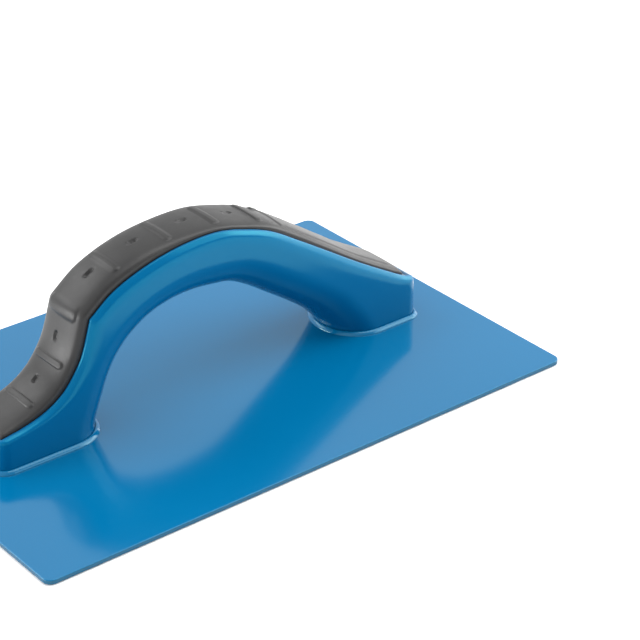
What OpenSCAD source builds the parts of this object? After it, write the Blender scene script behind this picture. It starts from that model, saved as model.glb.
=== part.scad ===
// Plastic finishing float: a thin flat blade under an arched handle. The handle
// is a channel that is open at the top, and a soft grip on a rigid carrier
// closes it. Screws inside the handle's feet hold it on the blade.
// Frame: +X along the handle, +Z up, origin at the middle of the working face.

/* [Blade] */
// Length of the blade, along the handle
blade_len = 270; // [250:1:320]
// Width of the blade
blade_w = 180; // [100:1:220]
// Thickness of the blade
blade_t = 2.2; // [2:0.1:3.5]
// Radius of the blade's corners
corner_r = 4; // [2:0.5:20]
// Width of the raised collar round each foot
collar_w = 2; // [1.2:0.1:3]
// Height of the raised collar above the blade
collar_h = 1.6; // [0.8:0.1:2.5]

/* [Handle shell] */
// Width of the handle over its left foot and its crown
handle_w = 32.4; // [31:0.2:34]
// Width of the handle over its right foot
foot_w = 38; // [34:0.5:42]
// Thickness of the shell's walls and of its foot floors
wall = 3; // [2.4:0.1:3.4]
// Radius that rolls the walls over into the rim
lip_r = 2.6; // [1:0.1:2.6]
// Radius of the corners at the ends of the feet
end_r = 5.5; // [3:0.5:6]

/* [Grip] */
// Thickness of the soft skin
skin_t = 1.8; // [1.2:0.1:2.2]
// Thickness of the rigid carrier under the skin
carrier_t = 1.8; // [1.2:0.1:2.4]
// Depth that the carrier's side walls reach into the channel
skirt_h = 6; // [3:0.5:8]
// Gap between the grip and the channel's walls
grip_gap = 0.3; // [0.1:0.1:0.5]

/* [Fasteners] */
// Outer diameter of the blade's screw bosses
boss_d = 8; // [7:0.5:9]
// Height of the screw bosses above the blade
boss_h = 7; // [6:0.5:8]
// Thread diameter of the screws
screw_d = 3.5; // [3:0.5:4]
// Length of the screws under the head
screw_len = 9; // [7:0.5:10]
// Diameter of the screw heads
head_d = 7; // [6:0.5:8]
// Outer diameter of the washers
washer_d = 9; // [8:0.5:10]
// Thickness of the washers
washer_t = 0.8; // [0.5:0.1:1]

/* [Hidden] */

blade_blue = "#1478b8";
handle_blue = "#0f74b4";
soft_grey = "#555557";
carrier_grey = "#3a3a3c";
steel = "#b8bcc0";

belly_h = 16.5;     // height of the shell's half-oval underside
steps = 2;          // rings from one station to the next
arc_steps = 14;     // facets round the shell's underside
lip_steps = 3;      // facets round its lip
crown_steps = 10;   // facets across the grip

// Stations along the arch, from the left foot to the right one. Each row is
// [underside x, underside z, rim x, rim z, height of the grip's crown above the
// rim], with z above the blade's top face.
STATIONS = [
    [ -56.8,  0.0, -110.0,  0.0,  0.0],
    [ -56.6,  3.0, -110.0,  7.0,  0.0],
    [ -56.2,  5.4, -110.0, 12.0,  0.0],
    [ -55.8,  6.8, -109.3, 14.2,  0.0],
    [ -55.2,  8.6, -107.0, 15.0,  2.2],
    [ -53.8, 12.2,  -96.8, 16.8,  3.6],
    [ -52.0, 16.8,  -85.8, 20.1,  4.6],
    [ -49.7, 22.6,  -77.3, 25.3,  5.2],
    [ -46.8, 28.2,  -71.3, 32.0,  5.4],
    [ -42.8, 33.6,  -66.6, 40.1,  5.5],
    [ -36.7, 38.6,  -61.8, 55.2,  5.4],
    [ -28.3, 43.3,  -49.8, 64.0,  5.3],
    [ -18.6, 45.8,  -32.8, 70.6,  4.8],
    [  -8.1, 46.5,  -14.8, 74.2,  3.4],
    [   3.1, 45.6,    4.1, 74.7,  2.5],
    [  13.5, 43.8,   19.9, 70.9,  2.6],
    [  23.7, 38.9,   31.6, 66.4,  3.2],
    [  36.7, 30.2,   45.2, 58.2,  3.4],
    [  49.1, 21.6,   60.8, 48.3,  2.9],
    [  59.1, 13.9,   78.3, 37.1,  2.3],
    [  64.1,  8.8,   94.9, 27.3,  2.2],
    [  66.6,  6.0,  105.0, 21.7,  2.4],
    [  68.2,  4.0,  110.9, 19.4,  0.0],
    [  69.3,  2.6,  112.0, 16.6,  0.0],
    [  70.5,  1.2,  112.0,  8.0,  0.0],
    [  71.7,  0.0,  112.0,  0.0,  0.0]];
last = len(STATIONS) - 1;
rim_first = 4;          // the channel is open from this station
rim_last = last - 4;    // to this one
RIM_CORNERS = [2, 10, last - 2];   // stations where the rim line has a corner

left_end = STATIONS[0][2];
right_end = STATIONS[last][2];
FLARE = [-15, 105];     // the handle widens between these places along X

// Screw positions along X, from the left end of the handle to the right end
SCREW_X = [-94, -74, 83, 98];

// ---- Curves ----

function unit(v) = v / norm(v);

function is_in(i, list) = len([for (v = list) if (v == i) v]) > 0;

// Direction of the line through points p at point i, on one side of a corner
function heading(p, i, corners, side) =
    let (cornered = is_in(i, corners))
    i == 0 || (cornered && side > 0) ? unit(p[i + 1] - p[i])
    : i == len(p) - 1 || (cornered && side < 0) ? unit(p[i] - p[i - 1])
    : unit(p[i + 1] - p[i - 1]);

// Point at t of a cubic from a to b that leaves along u and arrives along v
function cubic(a, b, u, v, t) =
    let (d = norm(b - a))
    a * (1 + t * t * (2 * t - 3)) + b * t * t * (3 - 2 * t)
    + u * d * t * (t - 1) * (t - 1) + v * d * t * t * (t - 1);

// 0 at t = 0, 1 at t = 1, and smooth between them
function ease(t) = let (u = min(max(t, 0), 1)) u * u * (3 - 2 * u);

// Half the handle's width where its rim is at x
function half_at(x) =
    (handle_w + (foot_w - handle_w) * ease((x - FLARE[0]) / (FLARE[1] - FLARE[0]))) / 2;

// Smooth line through points p, with a corner at each point listed
function curve(p, corners) =
    concat([for (i = [0:len(p) - 2]) for (k = [0:steps - 1])
                cubic(p[i], p[i + 1], heading(p, i, corners, 1),
                      heading(p, i + 1, corners, -1), k / steps)],
           [p[len(p) - 1]]);

// Sideways direction of line p at point i, turned left from its heading
function normal(p, i) = let (u = heading(p, i, [], 0)) [-u[1], u[0]];

UNDER = curve([for (s = STATIONS) [s[0], s[1]]], []);
RIM = curve([for (s = STATIONS) [s[2], s[3]]], RIM_CORNERS);
CROWN = curve([for (s = STATIONS) [s[2], s[4]]], RIM_CORNERS);
open_from = rim_first * steps;
open_to = rim_last * steps;

// Lifts heights near the blade, so that the channel stops at a flat foot floor
function above_floor(z) = z < 3 * wall ? wall + z * 2 / 3 : z;

// The channel's own lines, one wall inside the shell's
INNER_UNDER = [for (i = [0:len(UNDER) - 1])
    let (q = UNDER[i] + wall * normal(UNDER, i))
        [q[0], i == 0 || i == len(UNDER) - 1 ? wall : above_floor(q[1])]];
INNER_RIM = [for (q = RIM)
    [min(max(q[0], left_end + wall), right_end - wall), above_floor(q[1])]];

// Radius of the section's corners at ring i: larger where the rings are closed
function corner_at(i) =
    let (from_open = max(open_from - i, i - open_to))
    lip_r + (end_r - lip_r) * ease(from_open / (2 * steps));

// ---- Swept solids ----

// Places a section point [y, depth below the rim] on the plane through
// the rim point a and the underside point b
function place(a, b, q) = let (d = a + unit(b - a) * q[1]) [d[0], q[0], d[1] + blade_t];

// U-shaped section of half width w and depth n: corners of radius r at the rim,
// straight sides and a half-oval underside
function shell_section(n, w, r) = concat(
    [for (k = [0:lip_steps]) let (g = 90 * k / lip_steps)
        [w - r + r * sin(g), r - r * cos(g)]],
    [for (k = [1:arc_steps - 1]) let (g = 180 * k / arc_steps)
        [w * cos(g), n - belly_h + belly_h * sin(g)]],
    [for (k = [0:lip_steps]) let (g = 90 - 90 * k / lip_steps)
        [r - w - r * sin(g), r - r * cos(g)]]);

// Inside of the channel, of half width w and depth n
function channel_section(n, w) = concat(
    [[w, 0]],
    [for (k = [0:arc_steps]) let (g = 180 * k / arc_steps)
        [w * cos(g), n + (belly_h - wall) * (sin(g) - 1)]],
    [[-w, 0]]);

// Strip of quads between rings of m points, from ring a to ring b
function strip(first, m, a, b, k0, k1, flip) =
    [for (i = [a:b - 1]) for (k = [k0:k1 - 1])
        let (p = first + i * m + k, q = [p, p + 1, p + 1 + m, p + m])
        flip ? [q[3], q[2], q[1], q[0]] : q];

// Quads that close each ring from its last point back to its first
function seam(first, m, a, b, flip) =
    [for (i = [a:b - 1])
        let (p = first + i * m, q = [p + m - 1, p, p + m, p + 2 * m - 1])
        flip ? [q[3], q[2], q[1], q[0]] : q];

function backwards(list) = [for (k = [len(list) - 1:-1:0]) list[k]];

// The arched channel, closed at both feet, as one surface
module shell_body() {
    n = len(UNDER);
    outer = [for (i = [0:n - 1])
        let (depth = norm(UNDER[i] - RIM[i]))
        [for (q = shell_section(depth, half_at(RIM[i][0]), corner_at(i)))
            place(RIM[i], UNDER[i], q)]];
    inner = [for (i = [0:n - 1])
        let (depth = norm(INNER_UNDER[i] - INNER_RIM[i]))
        [for (q = channel_section(depth, half_at(RIM[i][0]) - wall))
            place(INNER_RIM[i], INNER_UNDER[i], q)]];
    m = len(outer[0]);
    w = len(inner[0]);
    base = n * m;
    points = concat([for (ring = outer) each ring], [for (ring = inner) each ring]);
    near_rim = [for (i = [open_from:open_to - 1])
        [i * m, (i + 1) * m, base + (i + 1) * w, base + i * w]];
    far_rim = [for (i = [open_from:open_to - 1])
        [base + i * w + w - 1, base + (i + 1) * w + w - 1, (i + 1) * m + m - 1, i * m + m - 1]];
    end_rims = [
        [open_from * m + m - 1, open_from * m, base + open_from * w, base + open_from * w + w - 1],
        [open_to * m, open_to * m + m - 1, base + open_to * w + w - 1, base + open_to * w]];
    polyhedron(points, concat(
        strip(0, m, 0, n - 1, 0, m - 1, false),
        seam(0, m, 0, open_from, false),
        seam(0, m, open_to, n - 1, false),
        strip(base, w, 0, n - 1, 0, w - 1, true),
        seam(base, w, 0, open_from, true),
        seam(base, w, open_to, n - 1, true),
        near_rim, far_rim, end_rims,
        [backwards([for (k = [0:m - 1]) k]), [for (k = [0:w - 1]) base + k],
         [for (k = [0:m - 1]) (n - 1) * m + k],
         backwards([for (k = [0:w - 1]) base + (n - 1) * w + k])]));
}

// Arched section of the grip: crowned over its width, with side walls below
// the rim. Its points go over the top and back underneath.
function arch_section(w, top, bottom, t) =
    let (over = [for (k = [0:crown_steps]) let (g = 180 * k / crown_steps)
             [w * cos(g), top * sqrt(sin(g))]],
         under = [for (k = [crown_steps:-1:0]) let (g = 180 * k / crown_steps)
             [(w - t) * cos(g), (top - t) * sqrt(sin(g))]])
    concat([[w, -bottom]], over, [[-w, -bottom], [t - w, -bottom]], under, [[w - t, -bottom]]);

// Sweeps a section along the rim, from ring a to ring b
module along_rim(a, b, sections) {
    m = len(sections[0]);
    n = b - a + 1;
    points = [for (i = [0:n - 1]) for (q = sections[i])
        let (d = RIM[a + i] + normal(RIM, a + i) * q[1]) [d[0], q[0], d[1] + blade_t]];
    polyhedron(points, concat(
        strip(0, m, 0, n - 1, 0, m - 1, true),
        seam(0, m, 0, n - 1, true),
        [for (k = [0:m / 2 - 2]) [k, k + 1, m - 2 - k, m - 1 - k]],
        [for (k = [0:m / 2 - 2]) let (p = (n - 1) * m)
            [p + m - 1 - k, p + m - 2 - k, p + k + 1, p + k]]));
}

// ---- Sub-parts ----

// Plan of the foot of half width w between its inner end and its outer one, grown
// outwards: the inner end is a half-oval and the outer one is squarer
module foot_plan(inner_x, outer_x, w, grow) {
    side = sign(outer_x);
    bend = [for (k = [0:8]) 90 * k / 8];
    corner = [for (g = bend)
        [outer_x + side * ((end_r + grow) * sin(g) - end_r), w - end_r + (end_r + grow) * cos(g)]];
    polygon(concat(
        [for (k = [0:32]) let (g = 180 * k / 32)
            [inner_x + side * (belly_h - (belly_h + grow) * sin(g)), (w + grow) * cos(g)]],
        [for (q = corner) [q[0], -q[1]]],
        backwards(corner)));
}

module foot_plans(grow) {
    foot_plan(STATIONS[0][0], left_end, half_at(left_end), grow);
    foot_plan(STATIONS[last][0], right_end, half_at(right_end), grow);
}

module blade_plan() {
    square([blade_len - 2 * corner_r, blade_w], center = true);
    square([blade_len, blade_w - 2 * corner_r], center = true);
    for (x = [-1, 1]) for (y = [-1, 1])
        translate([x * (blade_len / 2 - corner_r), y * (blade_w / 2 - corner_r)])
            circle(r = corner_r, $fn = 48);
}

module blade_plate() {
    pilot_d = screw_d - 0.8;
    color(blade_blue) difference() {
        union() {
            linear_extrude(blade_t) blade_plan();
            translate([0, 0, blade_t - 0.2]) linear_extrude(collar_h + 0.2) difference() {
                foot_plans(collar_w);
                foot_plans(0.15);
            }
            for (x = SCREW_X) translate([x, 0, blade_t - 0.2])
                cylinder(d = boss_d, h = boss_h + 0.2, $fn = 48);
        }
        for (x = SCREW_X) translate([x, 0, blade_t + 0.4])
            cylinder(d = pilot_d, h = boss_h, $fn = 32);
    }
}

seat_z = blade_t + boss_h + 0.2 + wall - 0.6;   // top of the seat under each washer

module handle_shell() {
    color(handle_blue) difference() {
        union() {
            shell_body();
            for (x = SCREW_X) translate([x, 0, blade_t + wall - 0.5])
                cylinder(d = boss_d + 4.4, h = seat_z - blade_t - wall + 0.5, $fn = 48);
        }
        for (x = SCREW_X) translate([x, 0, blade_t - 1]) {
            cylinder(d = boss_d + 0.3, h = boss_h + 1.2, $fn = 48);
            cylinder(d = screw_d + 0.4, h = seat_z, $fn = 32);
        }
    }
}

// Sections of a layer of the grip: inset is how far it is inside the grip's
// outer face, bottom how far its sides reach below the rim, t its thickness
function grip_sections(inset, bottom, t) =
    [for (i = [open_from:open_to])
        arch_section(half_at(RIM[i][0]) - wall - grip_gap - inset, CROWN[i][1] - inset, bottom, t)];

module soft_grip() {
    color(soft_grey) along_rim(open_from, open_to, grip_sections(0, 0.8, skin_t));
}

module grip_carrier() {
    color(carrier_grey)
        along_rim(open_from, open_to, grip_sections(skin_t, skirt_h, carrier_t));
}

// Pan-head screw standing on its washer, at screw position i
module screw(i) {
    head_h = 2.2;
    color(steel) translate([SCREW_X[i], 0, seat_z + washer_t]) difference() {
        union() {
            translate([0, 0, -screw_len]) cylinder(d = screw_d, h = screw_len + 0.5, $fn = 32);
            cylinder(d1 = head_d, d2 = head_d - 1.6, h = head_h, $fn = 48);
        }
        for (turn = [0, 90])
            rotate(turn) translate([0, 0, head_h]) cube([3.6, 0.9, 2.4], center = true);
    }
}

module washer(i) {
    color(steel) translate([SCREW_X[i], 0, seat_z]) difference() {
        cylinder(d = washer_d, h = washer_t, $fn = 48);
        translate([0, 0, -1]) cylinder(d = screw_d + 0.3, h = washer_t + 2, $fn = 32);
    }
}

blade_plate();
handle_shell();
grip_carrier();
soft_grip();
screw(0);  // screw_left_outer
screw(1);  // screw_left_inner
screw(2);  // screw_right_inner
screw(3);  // screw_right_outer
washer(0);  // washer_left_outer
washer(1);  // washer_left_inner
washer(2);  // washer_right_inner
washer(3);  // washer_right_outer
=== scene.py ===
import math

import bmesh
import bpy
import numpy as np
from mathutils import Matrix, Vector


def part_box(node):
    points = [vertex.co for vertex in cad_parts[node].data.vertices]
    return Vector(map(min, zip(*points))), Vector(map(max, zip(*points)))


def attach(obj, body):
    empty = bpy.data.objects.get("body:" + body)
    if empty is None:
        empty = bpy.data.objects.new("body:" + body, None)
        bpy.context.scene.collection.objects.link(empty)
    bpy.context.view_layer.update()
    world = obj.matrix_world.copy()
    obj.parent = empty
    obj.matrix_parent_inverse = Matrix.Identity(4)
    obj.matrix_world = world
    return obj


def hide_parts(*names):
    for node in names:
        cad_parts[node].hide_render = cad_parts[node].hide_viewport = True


# The looks of a plastic finishing float: a satin blue blade, a blue arched handle and
# a dark grey soft grip. Outlines are in millimetres, and meshes are made in metres.
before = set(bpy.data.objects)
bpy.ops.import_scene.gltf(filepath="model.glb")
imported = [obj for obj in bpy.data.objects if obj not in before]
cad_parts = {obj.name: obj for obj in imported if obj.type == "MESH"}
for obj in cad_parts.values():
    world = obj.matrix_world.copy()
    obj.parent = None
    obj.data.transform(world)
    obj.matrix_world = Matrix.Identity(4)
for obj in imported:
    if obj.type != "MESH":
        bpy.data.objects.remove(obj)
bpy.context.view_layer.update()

MM = 0.001
BODY = "root"

# ---------------------------------------------------------------- sizes, in mm

BLADE_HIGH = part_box("blade_plate")[1]   # upper corner of the blade's box, in m
BLADE_T = 2.2               # thickness of the blade
BLADE_CORNER_R = 4.0        # radius of its corners in plan
BLADE_EDGE_R = 0.45         # radius of its edges
# Section of the raised collar round each foot: distance out of the foot's side and
# height above the blade, from the inner edge over the top and down a slope to the blade
COLLAR = [(0.15, -0.4), (0.15, 1.42), (0.32, 1.58), (0.60, 1.60), (1.00, 1.42), (1.45, 1.06),
          (1.85, 0.64), (2.08, 0.30), (2.20, 0.02), (2.20, -0.4)]
LEFT_LEAD, RIGHT_LEAD = 0.2, 1.25   # how much further each one stands out under its leg

SCREW_X = (-94.0, -74.0, 83.0, 98.0)    # places of the screws, all at y = 0
BOSS_D, BOSS_H = 8.0, 7.0   # screw bosses on the blade
BOSS_SINK = 0.4             # depth that they reach into it, to be one with it
BOSS_GAP = 0.2              # gap between a boss's top and the seat over it
CHAMFER = 0.4               # on the tops of the bosses and of the seats
PILOT_D = 2.7               # pilot holes in the bosses
PILOT_FLOOR = 0.4           # height of their blind ends above the blade
PILOT_CONE = 0.3            # depth of the cone at their mouths
SEAT_T = 2.4                # thickness of the screw seats in the shell
TOWER_R = BOSS_D / 2 + 2.2  # towers in the shell, which carry the seats
TOWER_SINK = 0.5            # depth that they reach into the foot floors
SOCKET_R = BOSS_D / 2 + 0.15    # sockets over the bosses
HOLE_R = 1.95               # screw holes through the seats
PAST = 1.0                  # how far a cutter goes past the face that it opens

CROWN_HALF_W = 16.2         # half the handle's width over its left foot and its crown
FOOT_HALF_W = 19.0          # half its width over its right foot
FLARE = (-15.0, 105.0)      # the handle widens between these places along X
WALL = 3.0                  # the shell's walls and foot floors
# Rounding that turns the walls over into the rim: distance in from the wall's face, and
# distance down from the rim, from a soft bevel at the rim to a slow curve below it
LIP = [(2.60, 0.00), (2.12, 0.06), (1.75, 0.30), (0.80, 1.80), (0.50, 2.50), (0.28, 3.50),
       (0.10, 4.70), (0.00, 6.10)]
END_R = 5.5                 # radius of the corners at the ends of the feet
BELLY_H = 16.5              # height of the shell's half-oval underside
EDGE_BEVEL = 0.35           # rounding of the shell's other edges

GRIP_GAP = 0.4              # gap between the grip and the channel's walls
SKIN_T = 1.8                # thickness of the grip's skin
CROWN_POWER = 0.5           # how square the grip's crown is: 1 is half-oval
SKIRT_H = 0.8               # depth of the skin's edge below the rim
SKIRT_BEVEL = 0.3           # bevel along that edge
END_ROLL = 2.0              # length over which the crown rolls down at each end
LOW_CROWN = 0.1             # share of that roll already reached at the very end
HOLLOW_MIN = 0.2            # least height of the hollow under the skin

# The grip's moulded pattern. Lengths along the rim start at the grip's left end, and
# lengths across it at the middle. A rise is the height of a shape, negative for a hollow,
# and then the distances outside its outline where it starts and stops falling to nothing.
BARS = (19.0, 42.0, 65.0, 88.0, 114.0, 138.0, 161.0)    # places of the bars along the rim
BAR_HALF = (1.8, 10.0)      # half width along the rim, and half length across it
BAR_R = 1.7                 # radius of the corners
BAR_RISE = (0.60, -0.6, 0.1)
DIMPLES = (30.5, 53.5, 80.5, 102.5, 127.0, 150.0)       # places of the dimples
DIMPLE_HALF = (2.6, 1.5)    # half length along the rim, and half width across it
DIMPLE_R = 1.5
DIMPLE_RISE = (-1.20, -1.2, 0.1)
NUB = (170.0, 7.5)          # place of the last nub, which has a dimple's outline
NUB_RISE = (0.80, -1.0, 0.4)
PAD_START, PAD_END = 172.0, 247.0   # the long pad on the right leg, and its tip
PAD_HALF_W = 10.8
PAD_SLANT = (0.57, 0.82)    # direction that the slanted side of the tip faces
PAD_RISE = (0.45, -1.0, 0.2)
FADE_SIDE = (0.02, 0.3)     # sine of the angle over the crown where the pattern starts, and is full
FADE_END = (2, 6)           # distance from the grip's ends where it starts, and is full

# Stations along the arch, from the left foot to the right one: underside x and z, rim
# x and z, and the height of the grip's crown above the rim, with z above the blade.
STATIONS = [
    (-56.8, 0.0, -110.0, 0.0, 0.0),
    (-56.6, 3.0, -110.0, 7.0, 0.0),
    (-56.2, 5.4, -110.0, 12.0, 0.0),
    (-55.8, 6.8, -109.3, 14.2, 0.0),
    (-55.2, 8.6, -107.0, 15.0, 2.2),
    (-53.8, 12.2, -96.8, 16.8, 3.6),
    (-52.0, 16.8, -85.8, 20.1, 4.6),
    (-49.7, 22.6, -77.3, 25.3, 5.2),
    (-46.8, 28.2, -71.3, 32.0, 5.4),
    (-42.8, 33.6, -66.6, 40.1, 5.5),
    (-36.7, 38.6, -61.8, 55.2, 5.4),
    (-28.3, 43.3, -49.8, 64.0, 5.3),
    (-18.6, 45.8, -32.8, 70.6, 4.8),
    (-8.1, 46.5, -14.8, 74.2, 3.4),
    (3.1, 45.6, 4.1, 74.7, 2.5),
    (13.5, 43.8, 19.9, 70.9, 2.6),
    (23.7, 38.9, 31.6, 66.4, 3.2),
    (36.7, 30.2, 45.2, 58.2, 3.4),
    (49.1, 21.6, 60.8, 48.3, 2.9),
    (59.1, 13.9, 78.3, 37.1, 2.3),
    (64.1, 8.8, 94.9, 27.3, 2.2),
    (66.6, 6.0, 105.0, 21.7, 2.4),
    (68.2, 4.0, 110.9, 19.4, 0.0),
    (69.3, 2.6, 112.0, 16.6, 0.0),
    (70.5, 1.2, 112.0, 8.0, 0.0),
    (71.7, 0.0, 112.0, 0.0, 0.0),
]
RIM_FIRST, RIM_LAST = 4, len(STATIONS) - 5      # the channel is open between these
KINK = 10                                       # the heel's leg meets the crown here
RIM_CORNERS = (2, KINK, len(STATIONS) - 3)      # the rim turns a corner at these
LEFT_END, RIGHT_END = STATIONS[0][2], STATIONS[-1][2]   # X of the handle's ends

# ---------------------------------------------------------------- detail of the meshes

TURNS = 48                  # facets round the bosses, towers, sockets and screw holes
PILOT_TURNS = 32            # facets round the pilot holes
ARC_STEPS = 12              # parts of each corner of the blade
EDGE_STEPS = 4              # parts of the rounding of its edges
FOOT_STEPS = 32             # parts of the inner end of a foot's outline
FOOT_CORNER_STEPS = 8       # parts of each corner at its outer end
SHELL_STEPS = 8             # rings of the shell from one station to the next
SIDE_STEPS = 4              # parts of the shell's straight sides
BELLY_STEPS = 36            # parts of its underside
CHANNEL_STEPS = 24          # parts of the channel's underside
GRIP_STEPS = 24             # rings of the grip from one station to the next
CROWN_STEPS = 84            # parts of the grip's top
HOLLOW_STEPS = 24           # parts of its underside
BEVEL_SEGMENTS = 3          # parts of the bevel on the shell's edges
BEVEL_ANGLE = 40            # the shell's edges sharper than this, in degrees, are bevelled
BLADE_CREASE, SHELL_CREASE, GRIP_CREASE = 32, 30, 40    # sharper edges are shaded crisp


# ---------------------------------------------------------------- curves

def unit(v):
    """The same direction with a length of 1."""
    return v / np.linalg.norm(v)


def heading(p, i, corners, side):
    """Direction of the line through points p at point i, on one side of a corner."""
    if i == 0 or (i in corners and side > 0):
        return unit(p[i + 1] - p[i])
    if i == len(p) - 1 or (i in corners and side < 0):
        return unit(p[i] - p[i - 1])
    return unit(p[i + 1] - p[i - 1])


def cubic(a, b, u, v, t):
    """Point at t of a cubic from a to b that leaves along u and arrives along v."""
    d = np.linalg.norm(b - a)
    return (a * (1 + t * t * (2 * t - 3)) + b * t * t * (3 - 2 * t)
            + u * d * t * (t - 1) ** 2 + v * d * t * t * (t - 1))


def curve(points, corners, steps):
    """Smooth line through the points, with a corner at each point listed."""
    p = [np.array(q, float) for q in points]
    line = []
    for i in range(len(p) - 1):
        u, v = heading(p, i, corners, 1), heading(p, i + 1, corners, -1)
        line += [cubic(p[i], p[i + 1], u, v, k / steps) for k in range(steps)]
    return np.array(line + [p[-1]])


def normals(line):
    """Sideways directions of a line, turned left from its heading."""
    turn = np.gradient(line, axis=0)
    turn /= np.linalg.norm(turn, axis=1)[:, None]
    return np.stack([-turn[:, 1], turn[:, 0]], axis=1)


def lengths(line):
    """Distance along a line from its first point to each point."""
    return np.concatenate([[0], np.cumsum(np.linalg.norm(np.diff(line, axis=0), axis=1))])


def smooth(x, low, high):
    """0 below low, 1 above high, and smooth between them."""
    t = np.clip((x - low) / (high - low), 0, 1)
    return t * t * (3 - 2 * t)


def half_at(x):
    """Half the handle's width where its rim is at x."""
    return CROWN_HALF_W + (FOOT_HALF_W - CROWN_HALF_W) * smooth(x, *FLARE)


# ---------------------------------------------------------------- meshes

def mesh_object(name, vertices, faces):
    """Object of a closed mesh from points in mm, with its normals facing out."""
    mesh = bpy.data.meshes.new(name)
    mesh.from_pydata([tuple(float(c) * MM for c in v) for v in vertices], [],
                     [tuple(int(k) for k in f) for f in faces])
    obj = bpy.data.objects.new(name, mesh)
    bpy.context.scene.collection.objects.link(obj)
    shape = bmesh.new()
    shape.from_mesh(mesh)
    bmesh.ops.recalc_face_normals(shape, faces=shape.faces)
    shape.to_mesh(mesh)
    shape.free()
    return obj


def apply_modifiers(obj):
    """Turns an object's modifiers into its own mesh."""
    graph = bpy.context.evaluated_depsgraph_get()
    mesh = bpy.data.meshes.new_from_object(obj.evaluated_get(graph))
    obj.modifiers.clear()
    old = obj.data
    obj.data = mesh
    bpy.data.meshes.remove(old)


def combine(obj, tool, operation):
    """Boolean of obj with tool, which is used up."""
    cut = obj.modifiers.new(operation.lower(), "BOOLEAN")
    cut.operation = operation
    cut.object = tool
    cut.solver = "EXACT"
    apply_modifiers(obj)
    bpy.data.objects.remove(tool)


def bevel(obj, width):
    """Rounds every edge that is sharper than the bevel angle."""
    edge = obj.modifiers.new("edges", "BEVEL")
    edge.width = width * MM
    edge.segments = BEVEL_SEGMENTS
    edge.limit_method = "ANGLE"
    edge.angle_limit = math.radians(BEVEL_ANGLE)
    edge.use_clamp_overlap = True
    apply_modifiers(obj)


def shade(obj, angle):
    """Smooth shading, except across edges sharper than an angle, in degrees."""
    for face in obj.data.polygons:
        face.use_smooth = True
    obj.data.set_sharp_from_angle(angle=math.radians(angle))


def keep_flats(obj):
    """Lets the large faces decide the shading normals, so that flat faces look flat."""
    weighted = obj.modifiers.new("normals", "WEIGHTED_NORMAL")
    weighted.mode = "FACE_AREA"
    weighted.weight = 100
    weighted.keep_sharp = True
    apply_modifiers(obj)


def finish_piece(obj, material, slot, *nodes):
    """Gives a piece its material, hangs it on its body and hides the CAD nodes that it replaces."""
    obj.data.materials.clear()
    obj.data.materials.append(material)
    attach(obj, BODY)
    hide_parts(*nodes)


def rings_to_mesh(rings, closed, caps):
    """Vertices and faces of a skin over rings of points with the same count.

    A closed skin goes on from its last ring to its first, and caps fill the end rings.
    """
    n, m = len(rings), len(rings[0])
    vertices = [q for ring in rings for q in ring]
    faces = []
    for i in range(n if closed else n - 1):
        a, b = i * m, (i + 1) % n * m
        faces += [(a + k, a + (k + 1) % m, b + (k + 1) % m, b + k) for k in range(m)]
    if caps:
        faces.append(tuple(range(m - 1, -1, -1)))
        faces.append(tuple((n - 1) * m + k for k in range(m)))
    return vertices, faces


def turned(profile, x, turns=TURNS):
    """Closed solid of revolution about an upright line at x, from points (radius, z)."""
    rings = [[(x + r * math.cos(a), r * math.sin(a), z)
              for a in (2 * math.pi * k / turns for k in range(turns))]
             for r, z in profile]
    return rings_to_mesh(rings, False, True)


def solids(name, parts):
    """One object of several separate closed meshes, each given as vertices and faces."""
    vertices, faces = [], []
    for more, skin in parts:
        faces += [tuple(len(vertices) + k for k in f) for f in skin]
        vertices += more
    return mesh_object(name, vertices, faces)


def at_screws(name, profile, turns=TURNS):
    """One object with a turned solid at each screw."""
    return solids(name, [turned(profile, x, turns) for x in SCREW_X])


# ---------------------------------------------------------------- materials

MIX_A, MIX_B, MIX_RESULT = 6, 7, 2      # the colour sockets of a Mix node


def new_material(name):
    """A material, its node tree, its shader and a node maker."""
    material = bpy.data.materials.new(name)
    material.use_nodes = True
    tree = material.node_tree
    shader = tree.nodes["Principled BSDF"]

    def add(kind, **values):
        node = tree.nodes.new(kind)
        for key, value in values.items():
            setattr(node, key, value)
        return node

    return material, tree.links.new, shader, add


def noise(add, link, place, scale, detail, roughness=0.5):
    """Noise over the object's own coordinates, which are in metres."""
    node = add("ShaderNodeTexNoise")
    node.inputs["Scale"].default_value = scale
    node.inputs["Detail"].default_value = detail
    node.inputs["Roughness"].default_value = roughness
    link(place.outputs["Object"], node.inputs["Vector"])
    return node


def ramp(add, link, source, stops):
    """Colour ramp over a value: stops are (position, (r, g, b))."""
    node = add("ShaderNodeValToRGB")
    while len(node.color_ramp.elements) < len(stops):
        node.color_ramp.elements.new(0.5)
    for element, (position, colour) in zip(node.color_ramp.elements, stops):
        element.position = position
        element.color = (*colour, 1)
    link(source, node.inputs["Fac"])
    return node


def grey(value):
    """A grey, as red, green and blue."""
    return (value, value, value)


def bump(add, link, height, shader, strength, distance):
    """Bump that feeds the shader's normal."""
    node = add("ShaderNodeBump")
    node.inputs["Strength"].default_value = strength
    node.inputs["Distance"].default_value = distance
    link(height, node.inputs["Height"])
    link(node.outputs["Normal"], shader.inputs["Normal"])


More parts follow.
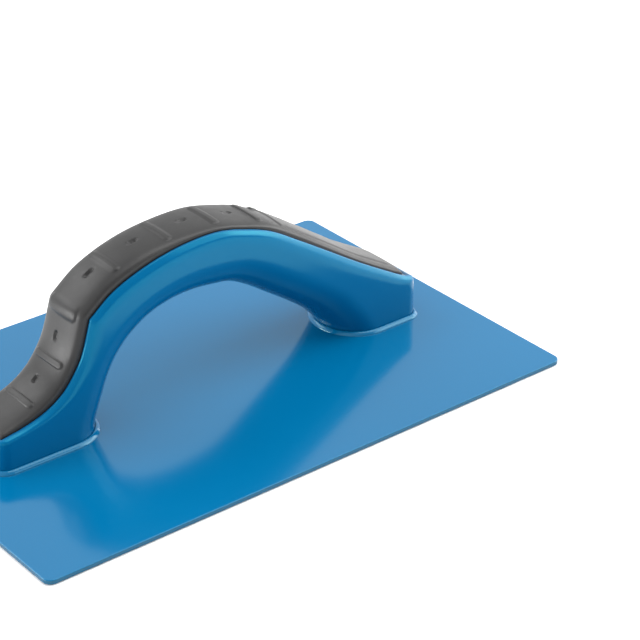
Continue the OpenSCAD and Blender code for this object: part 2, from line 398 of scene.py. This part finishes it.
def moulded_plastic(name, dark, light, painted_steep_shade, roughness, tint, texture):
    """Satin injection-moulded plastic with faint flow marks and a fine spark texture.

    Its colour goes from dark to light in the flow marks, and to a third colour on sides that
    are steep: painted shade, which stands in for the shade that falls on those sides.
    """
    material, link, shader, add = new_material(name)
    place = add("ShaderNodeTexCoord")
    flow = noise(add, link, place, scale=9, detail=2)
    blue = ramp(add, link, flow.outputs["Fac"], [(0.30, dark), (0.70, light)])
    axes = add("ShaderNodeSeparateXYZ")
    link(place.outputs["Normal"], axes.inputs["Vector"])
    # Painted shade: faces that turn away from up fade to the steep colour, which stands in for
    # shade
    painted_shade_fade = ramp(add, link, axes.outputs["Z"], [(0.15, grey(0)), (0.60, grey(1))])
    blend = add("ShaderNodeMix", data_type="RGBA")
    link(painted_shade_fade.outputs["Color"], blend.inputs["Factor"])
    blend.inputs[MIX_A].default_value = (*painted_steep_shade, 1)
    link(blue.outputs["Color"], blend.inputs[MIX_B])
    link(blend.outputs[MIX_RESULT], shader.inputs["Base Color"])
    shader.inputs["Roughness"].default_value = roughness
    shader.inputs["IOR"].default_value = 1.5
    shader.inputs["Specular Tint"].default_value = (*tint, 1)
    grain = noise(add, link, place, scale=2600, detail=2)
    bump(add, link, grain.outputs["Fac"], shader, strength=texture, distance=0.00004)
    return material


def soft_rubber(name):
    """Matt thermoplastic rubber with a fine moulded grain and a soft, uneven sheen."""
    material, link, shader, add = new_material(name)
    place = add("ShaderNodeTexCoord")
    cloud = noise(add, link, place, scale=70, detail=5, roughness=0.6)
    tint = ramp(add, link, cloud.outputs["Fac"],
                [(0.25, (0.012, 0.012, 0.0125)), (0.75, (0.018, 0.018, 0.018))])
    link(tint.outputs["Color"], shader.inputs["Base Color"])
    wear = noise(add, link, place, scale=300, detail=4)
    rough = ramp(add, link, wear.outputs["Fac"], [(0.2, grey(0.35)), (0.8, grey(0.43))])
    link(rough.outputs["Color"], shader.inputs["Roughness"])
    shader.inputs["IOR"].default_value = 1.5
    shader.inputs["Specular IOR Level"].default_value = 0.41
    grain = noise(add, link, place, scale=1800, detail=3)
    bump(add, link, grain.outputs["Fac"], shader, strength=0.35, distance=0.00012)
    return material


def carrier_plastic(name):
    """Plain dark plastic with a spark-eroded texture."""
    material, link, shader, add = new_material(name)
    place = add("ShaderNodeTexCoord")
    cloud = noise(add, link, place, scale=90, detail=3)
    tint = ramp(add, link, cloud.outputs["Fac"],
                [(0.3, (0.020, 0.020, 0.021)), (0.7, (0.030, 0.030, 0.031))])
    link(tint.outputs["Color"], shader.inputs["Base Color"])
    shader.inputs["Roughness"].default_value = 0.55
    grain = noise(add, link, place, scale=2200, detail=2)
    bump(add, link, grain.outputs["Fac"], shader, strength=0.4, distance=0.0001)
    return material


def zinc_steel(name):
    """Zinc-plated steel with a fine grain and cloudy plating."""
    material, link, shader, add = new_material(name)
    place = add("ShaderNodeTexCoord")
    cloud = noise(add, link, place, scale=400, detail=4)
    tint = ramp(add, link, cloud.outputs["Fac"],
                [(0.3, (0.52, 0.54, 0.57)), (0.7, (0.66, 0.68, 0.70))])
    link(tint.outputs["Color"], shader.inputs["Base Color"])
    shader.inputs["Metallic"].default_value = 1.0
    rough = ramp(add, link, cloud.outputs["Fac"], [(0.2, grey(0.26)), (0.8, grey(0.40))])
    link(rough.outputs["Color"], shader.inputs["Roughness"])
    grain = noise(add, link, place, scale=3000, detail=2)
    bump(add, link, grain.outputs["Fac"], shader, strength=0.2, distance=0.00005)
    return material


# ---------------------------------------------------------------- blade

def blade_outline(inset):
    """Rounded rectangle of the blade, moved inwards."""
    half_l = BLADE_HIGH.x / MM - BLADE_CORNER_R
    half_b = BLADE_HIGH.y / MM - BLADE_CORNER_R
    r = BLADE_CORNER_R - inset
    points = []
    for turn, (sx, sy) in enumerate([(1, 1), (-1, 1), (-1, -1), (1, -1)]):
        for k in range(ARC_STEPS + 1):
            a = math.radians(90 * (turn + k / ARC_STEPS))
            points.append((sx * half_l + r * math.cos(a), sy * half_b + r * math.sin(a)))
    return points


def foot_outline(inner_x, outer_x, lead):
    """Points and outward directions round a foot: half-oval inner end, squarer outer end.

    Lead is how far the inner end stands out, where the leg's underside sweeps over it.
    """
    side = math.copysign(1, outer_x)
    w = half_at(outer_x)
    oval = BELLY_H + lead
    path = []
    for k in range(FOOT_STEPS + 1):
        a = math.pi * k / FOOT_STEPS
        out = unit(np.array([-side * math.sin(a) / oval, math.cos(a) / w]))
        path.append(((inner_x + side * (BELLY_H - oval * math.sin(a)), w * math.cos(a)), out))
    corner = []
    for k in range(FOOT_CORNER_STEPS + 1):
        a = math.radians(90 * k / FOOT_CORNER_STEPS)
        corner.append((outer_x + side * END_R * (math.sin(a) - 1), w - END_R * (1 - math.cos(a)),
                       side * math.sin(a), math.cos(a)))
    path += [((x, -y), (u, -v)) for x, y, u, v in corner]
    path += [((x, y), (u, v)) for x, y, u, v in reversed(corner)]
    return path


def make_blade(material):
    """Flat plate with a collar round each foot and a drilled boss at each screw."""
    quarter = [math.radians(90 * k / EDGE_STEPS) for k in range(EDGE_STEPS + 1)]
    levels = [(BLADE_EDGE_R * (1 - math.sin(a)), BLADE_EDGE_R * (1 - math.cos(a)))
              for a in quarter]
    levels += [(inset, BLADE_T - z) for inset, z in reversed(levels)]
    rings = [[(x, y, z) for x, y in blade_outline(inset)] for inset, z in levels]
    blade = mesh_object("blade", *rings_to_mesh(rings, False, True))
    collars = []
    for station, lead in ((STATIONS[0], LEFT_LEAD), (STATIONS[-1], RIGHT_LEAD)):
        path = foot_outline(station[0], station[2], lead)
        rings = [[(x + u * out, y + v * out, BLADE_T + z) for out, z in COLLAR]
                 for (x, y), (u, v) in path]
        collars.append(rings_to_mesh(rings, True, False))
    boss_r, pilot_r, top = BOSS_D / 2, PILOT_D / 2, BLADE_T + BOSS_H
    boss = [(boss_r, BLADE_T - BOSS_SINK), (boss_r, top - CHAMFER), (boss_r - CHAMFER, top)]
    pilot = [(pilot_r, BLADE_T + PILOT_FLOOR), (pilot_r, top - PILOT_CONE),
             (pilot_r + 3 * PILOT_CONE, top + 2 * PILOT_CONE)]
    combine(blade, solids("collars", collars), "UNION")
    combine(blade, at_screws("bosses", boss), "UNION")
    combine(blade, at_screws("pilots", pilot, PILOT_TURNS), "DIFFERENCE")
    shade(blade, BLADE_CREASE)
    keep_flats(blade)
    finish_piece(blade, material, "blade_plastic", "blade_plate")


# ---------------------------------------------------------------- handle shell

def place_section(a, b, section):
    """Puts section points (y, depth) on the plane through rim point a and underside point b."""
    d = unit(b - a)
    return [(a[0] + d[0] * h, y, a[1] + d[1] * h + BLADE_T) for y, h in section]


def closed_share(n):
    """0 at each ring where the channel is open, rising to 1 over two stations past it."""
    ring = np.arange(n)
    closed = np.maximum(RIM_FIRST * SHELL_STEPS - ring, ring - RIM_LAST * SHELL_STEPS)
    return smooth(closed, 0, 2 * SHELL_STEPS)


def shell_section(depth, w, closed):
    """Rounded lips, straight sides and a half-oval underside, as points (y, depth).

    As the closed share goes to 1, the lips turn into plain round corners.
    """
    side = []
    for k, (inward, down) in enumerate(LIP):
        a = math.radians(90 * k / (len(LIP) - 1))
        inward += (END_R * (1 - math.sin(a)) - inward) * closed
        down += (END_R * (1 - math.cos(a)) - down) * closed
        side.append((w - inward, down))
    top = side[-1][1]
    straight = depth - BELLY_H - top
    side += [(w, top + straight * k / SIDE_STEPS) for k in range(1, SIDE_STEPS)]
    under = [(w * math.cos(a), depth - BELLY_H + BELLY_H * math.sin(a))
             for a in (math.pi * k / BELLY_STEPS for k in range(BELLY_STEPS + 1))]
    return side + under + [(-y, h) for y, h in reversed(side)]


def channel_section(depth, w):
    """Inside of the channel, one wall in from the outside."""
    under = [(w * math.cos(a), depth + (BELLY_H - WALL) * (math.sin(a) - 1))
             for a in (math.pi * k / CHANNEL_STEPS for k in range(CHANNEL_STEPS + 1))]
    return [(w, 0)] + under + [(-w, 0)]


def above_floor(z):
    """Lifts heights near the blade, so that the channel stops at a flat foot floor."""
    return WALL + z * 2 / 3 if z < 3 * WALL else z


def shell_rings():
    """Rings of the shell's outside and rings of its channel, from left to right."""
    under = curve([s[0:2] for s in STATIONS], (), SHELL_STEPS)
    rim = curve([s[2:4] for s in STATIONS], RIM_CORNERS, SHELL_STEPS)
    in_under = under + WALL * normals(under)
    in_under[:, 1] = [above_floor(z) for z in in_under[:, 1]]
    in_under[[0, -1], 1] = WALL
    in_rim = np.stack([np.clip(rim[:, 0], LEFT_END + WALL, RIGHT_END - WALL),
                       [above_floor(z) for z in rim[:, 1]]], axis=1)
    half, closed = half_at(rim[:, 0]), closed_share(len(rim))
    depth = np.linalg.norm(under - rim, axis=1)
    in_depth = np.linalg.norm(in_under - in_rim, axis=1)
    outer = [place_section(rim[i], under[i], shell_section(depth[i], half[i], closed[i]))
             for i in range(len(rim))]
    inner = [place_section(in_rim[i], in_under[i], channel_section(in_depth[i], half[i] - WALL))
             for i in range(len(rim))]
    return outer, inner


def shell_faces(n, m, w):
    """Faces over n outer rings of m points, followed by n inner rings of w points."""
    base = n * m
    # The undersides of both feet, and then the tops of both foot floors
    faces = [tuple(range(m)), tuple((n - 1) * m + k for k in range(m)),
             tuple(base + k for k in range(w)), tuple(base + (n - 1) * w + k for k in range(w))]
    first, last = RIM_FIRST * SHELL_STEPS, RIM_LAST * SHELL_STEPS
    for i in range(n - 1):
        for start, count in ((0, m), (base, w)):
            a, b = start + i * count, start + (i + 1) * count
            faces += [(a + k, a + k + 1, b + k + 1, b + k) for k in range(count - 1)]
            if first <= i < last:
                continue
            # Over an end wall the ring closes, and where that wall meets the open channel
            # its top also runs through the channel's two corner points.
            top = [a + count - 1, a, b, b + count - 1]
            if start == 0 and i == first - 1:
                p = base + first * w
                top[3:3] = [p, p + w - 1]
            if start == 0 and i == last:
                p = base + last * w
                top[1:1] = [p + w - 1, p]
            faces.append(tuple(top))
        if first <= i < last:
            p, q = base + i * w, base + (i + 1) * w
            faces.append((i * m, (i + 1) * m, q, p))
            faces.append((p + w - 1, q + w - 1, (i + 1) * m + m - 1, i * m + m - 1))
    return faces


def make_shell(material):
    """Arched channel with a screw seat on a tower over each boss."""
    outer, inner = shell_rings()
    vertices = [q for ring in outer + inner for q in ring]
    shell = mesh_object("handle", vertices, shell_faces(len(outer), len(outer[0]), len(inner[0])))
    bevel(shell, EDGE_BEVEL)
    boss_top = BLADE_T + BOSS_H
    seat = boss_top + BOSS_GAP + SEAT_T
    tower = [(TOWER_R, BLADE_T + WALL - TOWER_SINK), (TOWER_R, seat - CHAMFER),
             (TOWER_R - CHAMFER, seat)]
    socket = [(SOCKET_R, BLADE_T - PAST), (SOCKET_R, boss_top + BOSS_GAP)]
    hole = [(HOLE_R, boss_top - PAST), (HOLE_R, seat + PAST)]
    combine(shell, at_screws("towers", tower), "UNION")
    combine(shell, at_screws("sockets", socket), "DIFFERENCE")
    combine(shell, at_screws("holes", hole), "DIFFERENCE")
    shade(shell, SHELL_CREASE)
    keep_flats(shell)
    finish_piece(shell, material, "handle_plastic", "handle_shell")


# ---------------------------------------------------------------- soft grip

def rounded_box(s, v, half_s, half_v, r):
    """Distance outside a box with rounded corners, centred on s = v = 0; negative inside."""
    qs, qv = np.abs(s) - (half_s - r), np.abs(v) - (half_v - r)
    outside = np.hypot(np.maximum(qs, 0), np.maximum(qv, 0))
    return outside + np.minimum(np.maximum(qs, qv), 0) - r


def rise(d, height, low, high):
    """Height of a shape with a soft edge, from the distance outside its outline."""
    return height * (1 - smooth(d, low, high))


def relief(s, v):
    """Height of the moulded pattern over the plain skin, at s along and v across."""
    height = np.zeros_like(s)
    for at in BARS:
        height += rise(rounded_box(s - at, v, *BAR_HALF, BAR_R), *BAR_RISE)
    for at in DIMPLES:
        height += rise(rounded_box(s - at, v, *DIMPLE_HALF, DIMPLE_R), *DIMPLE_RISE)
    nub = rounded_box(s - NUB[0], v - NUB[1], *DIMPLE_HALF, DIMPLE_R)
    height += rise(nub, *NUB_RISE)
    slant = (s - PAD_END) * PAD_SLANT[0] + (v + PAD_HALF_W) * PAD_SLANT[1]
    pad = np.maximum.reduce([PAD_START - s, np.abs(v) - PAD_HALF_W, slant])
    return height + rise(pad, *PAD_RISE)


def grip_section(w, top_y, top_h, hollow):
    """Points (y, height) of half width w: the edges, the given top and the hollow under it."""
    inner_w = w - SKIN_T
    low = [(inner_w * math.cos(a), hollow * math.sin(a) ** CROWN_POWER)
           for a in np.linspace(math.pi, 0, HOLLOW_STEPS + 1)]
    return [(w - SKIRT_BEVEL, -SKIRT_H), (w, SKIRT_BEVEL - SKIRT_H), *zip(top_y, top_h),
            (-w, SKIRT_BEVEL - SKIRT_H), (SKIRT_BEVEL - w, -SKIRT_H), (-inner_w, -SKIRT_H),
            *low, (inner_w, -SKIRT_H)]


def make_grip(material):
    """Crowned skin along the open channel, with the moulded pattern on it."""
    rim = curve([s[2:4] for s in STATIONS], RIM_CORNERS, GRIP_STEPS)
    crown = curve([(s[2], s[4]) for s in STATIONS[RIM_FIRST:RIM_LAST + 1]],
                  (KINK - RIM_FIRST,), GRIP_STEPS)[:, 1]
    rim = rim[RIM_FIRST * GRIP_STEPS:RIM_LAST * GRIP_STEPS + 1]
    out = normals(rim)
    along = lengths(rim)
    half = half_at(rim[:, 0]) - WALL - GRIP_GAP
    end = np.minimum(along, along[-1] - along)
    crown = crown * np.sqrt(1 - (1 - np.clip(end / END_ROLL, LOW_CROWN, 1)) ** 2)

    # Points over the crown: y and h place them, and s and v are their distances along the
    # rim and across the skin from its middle.
    angles = np.linspace(0, math.pi, CROWN_STEPS + 1)
    y = half[:, None] * np.cos(angles)
    h = crown[:, None] * np.sin(angles) ** CROWN_POWER
    step = np.hypot(np.diff(y, axis=1), np.diff(h, axis=1))
    v = np.pad(np.cumsum(step, axis=1), ((0, 0), (1, 0)))
    v = v[:, -1:] / 2 - v
    s = np.repeat(along[:, None], len(angles), axis=1)
    fade = smooth(np.sin(angles), *FADE_SIDE) * smooth(end, *FADE_END)[:, None]
    h = h + relief(s, v) * fade

    rings = []
    for i, (x, z) in enumerate(rim):
        section = grip_section(half[i], y[i], h[i], max(crown[i] - SKIN_T, HOLLOW_MIN))
        rings.append([(x + out[i][0] * d, q, z + out[i][1] * d + BLADE_T) for q, d in section])
    grip = mesh_object("grip", *rings_to_mesh(rings, False, True))
    shade(grip, GRIP_CREASE)
    finish_piece(grip, material, "grip_rubber", "soft_grip")


# ---------------------------------------------------------------- hidden CAD pieces

def dress_cad(carrier, steel):
    """Gives the pieces that keep their CAD shape their materials."""
    for name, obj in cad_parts.items():
        if name.startswith(("screw", "washer")):
            obj.data.materials.clear()
            obj.data.materials.append(steel)
        elif name == "grip_carrier":
            obj.data.materials.clear()
            obj.data.materials.append(carrier)


# ---------------------------------------------------------------- stage, light, camera

OPEN_SIDE = (0.35, -0.85, 0.39)     # direction of the studio's dimmer side
OPEN_EDGE = (0.3, 0.95)     # cosines from that direction where the dimming starts and ends
STUDIO_LIGHT = (1.20, 0.55)     # strength of the studio away from that side, and on it
# Area lights: name, place, point that it faces, width and height in m, and power in W
LIGHTS = [
    ("key", (1.0, -0.4, 1.3), (0, 0, 0.03), (1.2, 2.6), 29),
    ("right", (1.4, -0.3, 0.42), (0, 0, 0.05), (1.8, 0.8), 11),
    ("front", (0.9, -0.95, 0.80), (0, 0, 0.05), (0.9, 0.7), 4.5),
    ("left", (-1.4, 0.5, 0.26), (-0.05, 0, 0.05), (1.2, 0.5), 17),
    ("back", (-0.50, 1.00, 1.02), (-0.05, 0, 0.07), (0.9, 0.7), 6),
]
FLOOR_HALF = 6.0            # half the floor's width, in m
FLOOR_Z = -0.0003           # just under the blade, so that the two never touch


def make_camera():
    """The view of a product picture: low over the near long edge, from the left, in metres."""
    azimuth, elevation = math.radians(-38.80), math.radians(29.04)
    distance = 1.0149
    target = Vector((0.07596, 0.00818, 0.0))
    back = Vector((math.sin(azimuth) * math.cos(elevation),
                   -math.cos(azimuth) * math.cos(elevation), math.sin(elevation)))
    camera = bpy.data.objects.new("camera", bpy.data.cameras.new("camera"))
    bpy.context.scene.collection.objects.link(camera)
    camera.location = target + back * distance
    camera.rotation_mode = "QUATERNION"
    camera.rotation_quaternion = (-back).to_track_quat("-Z", "Y")
    camera.data.sensor_width = 36
    camera.data.lens = 123.75
    camera.data.clip_start = 0.05
    camera.data.clip_end = 100
    bpy.context.scene.camera = camera


def area_light(name, place, aim, size, power):
    """Rectangular light that faces a point."""
    data = bpy.data.lights.new(name, "AREA")
    data.shape = "RECTANGLE"
    data.size, data.size_y = size
    data.energy = power
    light = bpy.data.objects.new(name, data)
    bpy.context.scene.collection.objects.link(light)
    light.location = place
    light.rotation_mode = "QUATERNION"
    light.rotation_quaternion = (Vector(aim) - Vector(place)).to_track_quat("-Z", "Y")


def make_world():
    """Plain white studio that is dimmer towards its open side."""
    world = bpy.data.worlds.new("studio")
    bpy.context.scene.world = world
    world.use_nodes = True
    nodes, link = world.node_tree.nodes, world.node_tree.links.new
    background = nodes["Background"]
    background.inputs["Color"].default_value = (1, 1, 1, 1)
    place = nodes.new("ShaderNodeTexCoord")
    towards = nodes.new("ShaderNodeVectorMath")
    towards.operation = "DOT_PRODUCT"
    towards.inputs[1].default_value = OPEN_SIDE
    link(place.outputs["Generated"], towards.inputs[0])
    dim = nodes.new("ShaderNodeMapRange")
    dim.interpolation_type = "SMOOTHSTEP"
    dim.inputs["From Min"].default_value = OPEN_EDGE[0]
    dim.inputs["From Max"].default_value = OPEN_EDGE[1]
    dim.inputs["To Min"].default_value = STUDIO_LIGHT[0]
    dim.inputs["To Max"].default_value = STUDIO_LIGHT[1]
    link(towards.outputs["Value"], dim.inputs["Value"])
    link(dim.outputs["Result"], background.inputs["Strength"])


def make_floor():
    """Pale plain floor."""
    material, link, shader, add = new_material("floor")
    place = add("ShaderNodeTexCoord")
    cloud = noise(add, link, place, scale=2, detail=2)
    tint = ramp(add, link, cloud.outputs["Fac"], [(0.3, grey(0.93)), (0.7, grey(0.95))])
    link(tint.outputs["Color"], shader.inputs["Base Color"])
    shader.inputs["Roughness"].default_value = 0.9
    shader.inputs["Specular IOR Level"].default_value = 0.1
    corners = [(x * FLOOR_HALF, y * FLOOR_HALF, FLOOR_Z)
               for x, y in ((-1, -1), (1, -1), (1, 1), (-1, 1))]
    mesh = bpy.data.meshes.new("floor")
    mesh.from_pydata(corners, [], [(0, 1, 2, 3)])
    floor = bpy.data.objects.new("floor", mesh)
    bpy.context.scene.collection.objects.link(floor)
    floor.data.materials.append(material)


make_camera()
make_world()
for light in LIGHTS:
    area_light(*light)
make_floor()

# The blade's steep colour is darker than its blue, as painted shade along its edges; the handle's
# is about the same as its blue
make_blade(moulded_plastic(
    "blade_blue", dark=(0.000, 0.103, 0.242), light=(0.000, 0.111, 0.258),
    painted_steep_shade=(0.000, 0.066, 0.146), roughness=0.12, tint=(0.6, 1, 1), texture=0.06))
make_shell(moulded_plastic(
    "handle_blue", dark=(0.000, 0.082, 0.214), light=(0.000, 0.089, 0.229),
    painted_steep_shade=(0.000, 0.086, 0.224), roughness=0.18, tint=(0.12, 1, 1), texture=0.12))
make_grip(soft_rubber("grip_grey"))
dress_cad(carrier_plastic("carrier_black"), zinc_steel("zinc"))

bpy.context.scene.view_settings.view_transform = "Standard"
bpy.context.scene.view_settings.look = "None"
